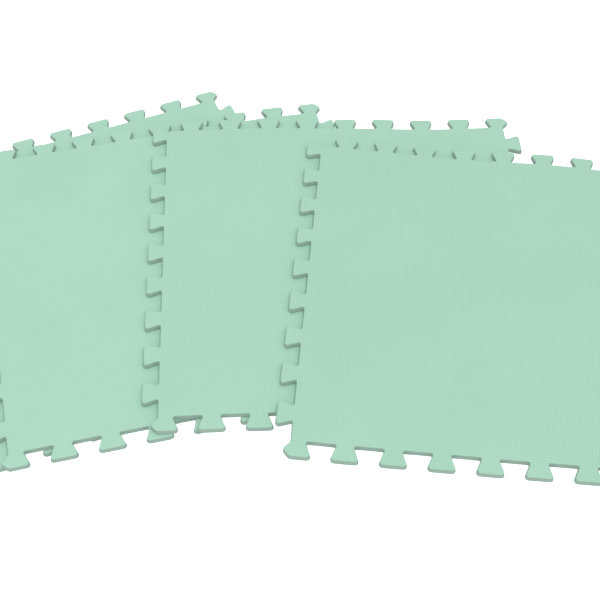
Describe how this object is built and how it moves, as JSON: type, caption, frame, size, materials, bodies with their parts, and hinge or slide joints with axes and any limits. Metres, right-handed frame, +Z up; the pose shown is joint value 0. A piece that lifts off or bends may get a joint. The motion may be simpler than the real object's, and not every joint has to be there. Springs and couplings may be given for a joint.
{
  "type": "interlocking foam blocking mats",
  "caption": "Fan of square mint-green foam blocking mats, each a thin die-cut sheet with dovetail teeth along every side so that the mats lock together edge to edge.",
  "frame": {"origin": "on the floor, under the middle of the box round the whole fan", "axes": "+X along the fan from the bottom mat to the top mat, +Y away from the viewer, +Z up"},
  "size_m": [0.6718, 0.4038, 0.0169],
  "materials": {
    "mint_foam": "matte closed-cell foam with a fine square emboss on the top face"
  },
  "bodies": {
    "bottom_mat": {"bottom_mat": "mint_foam"},
    "second_mat": {"second_mat": "mint_foam"},
    "third_mat": {"third_mat": "mint_foam"},
    "top_mat": {"top_mat": "mint_foam"}
  },
  "joints": [
    {"name": "second_lift", "type": "slide", "parent": "bottom_mat", "child": "second_mat", "axis": [0, 0, 1], "range_m": [0, 0.06]},
    {"name": "third_lift", "type": "slide", "parent": "second_mat", "child": "third_mat", "axis": [0, 0, 1], "range_m": [0, 0.06]},
    {"name": "top_lift", "type": "slide", "parent": "third_mat", "child": "top_mat", "axis": [0, 0, 1], "range_m": [0, 0.06]}
  ]
}
